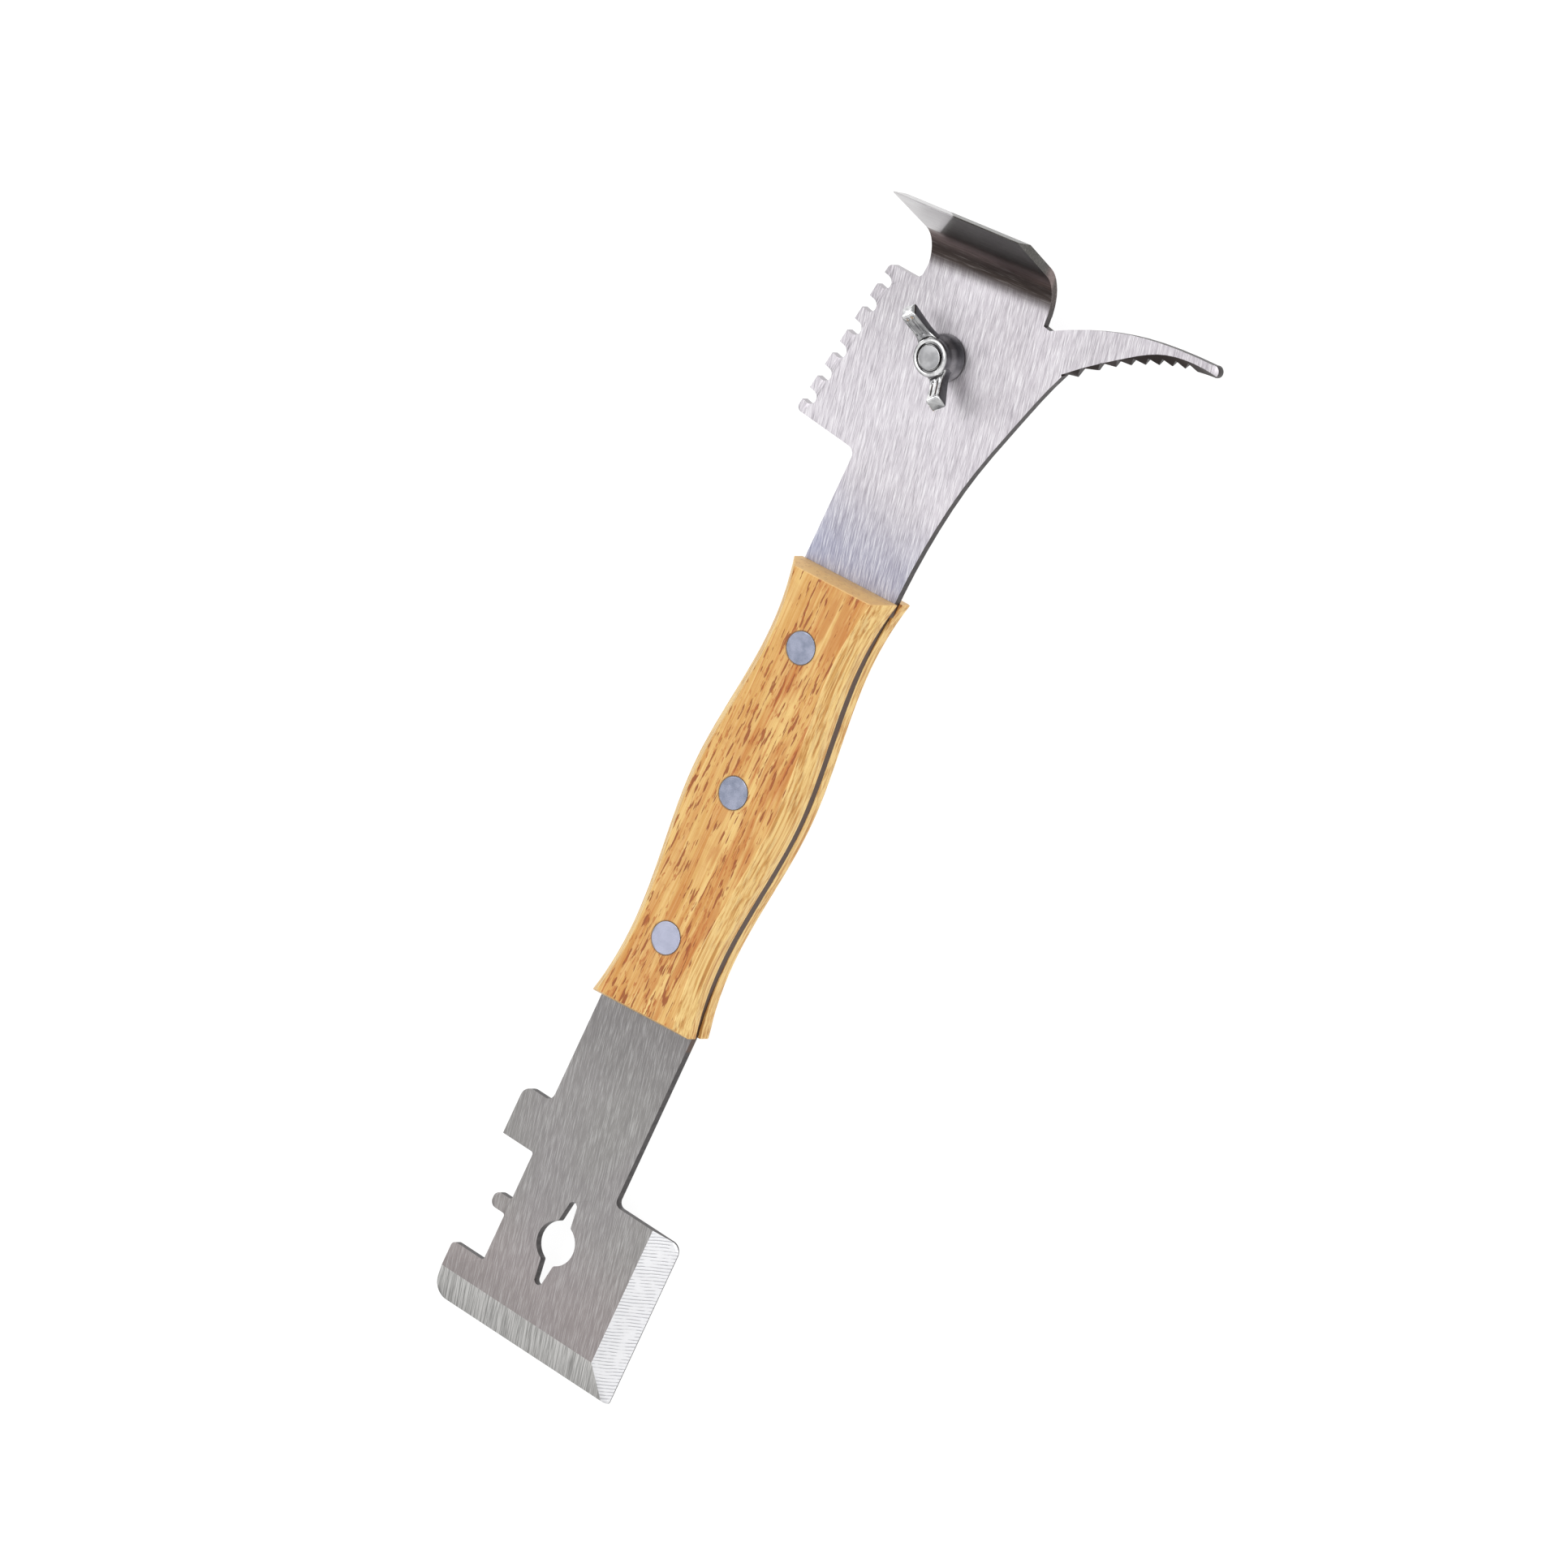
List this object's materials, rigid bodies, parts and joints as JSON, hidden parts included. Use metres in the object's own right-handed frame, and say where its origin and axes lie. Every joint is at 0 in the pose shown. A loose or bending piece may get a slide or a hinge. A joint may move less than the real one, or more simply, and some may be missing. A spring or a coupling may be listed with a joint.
{
  "type": "hive tool",
  "caption": "Flat steel hive tool with a waisted wooden handle, square scraper blade, upturned scraper, toothed horn, comb edge and wing-nut clamp.",
  "frame": {"origin": "under the middle rivet, on the flat back face of the rear scale, which the tool rests on", "axes": "+X along the handle to the head with the upturned scraper, +Y to the notched side, +Z out of the front"},
  "size_m": [0.2718, 0.0885, 0.031],
  "materials": {
    "steel": "brushed along the tool, ground at the edges",
    "handle_wood": "sanded and oiled, open pores",
    "rivet": "satin",
    "zinc": "bright zinc plate"
  },
  "bodies": {
    "root": {"blade": "steel", "front_scale": "handle_wood", "rear_scale": "handle_wood", "upper_rivet_stud": "rivet", "upper_rivet_tube": "rivet", "middle_rivet_stud": "rivet", "middle_rivet_tube": "rivet", "lower_rivet_stud": "rivet", "lower_rivet_tube": "rivet"},
    "nut": {"wing_nut": "zinc"},
    "bolt": {"carriage_bolt": "zinc"}
  },
  "joints": [
    {"name": "nut_turn", "type": "hinge", "parent": "root", "child": "nut", "pos_m": [0.1039, 0.0019, 0.009], "axis": [0, 0, 1], "range_deg": [0, 1080]},
    {"name": "bolt_travel", "type": "slide", "parent": "root", "child": "bolt", "axis": [0, 0, -1], "range_m": [0, 0.0031]}
  ],
  "couplings": [
    {"joint": "bolt_travel", "follows": "nut_turn", "m_per_rad": 0.00015915}
  ]
}
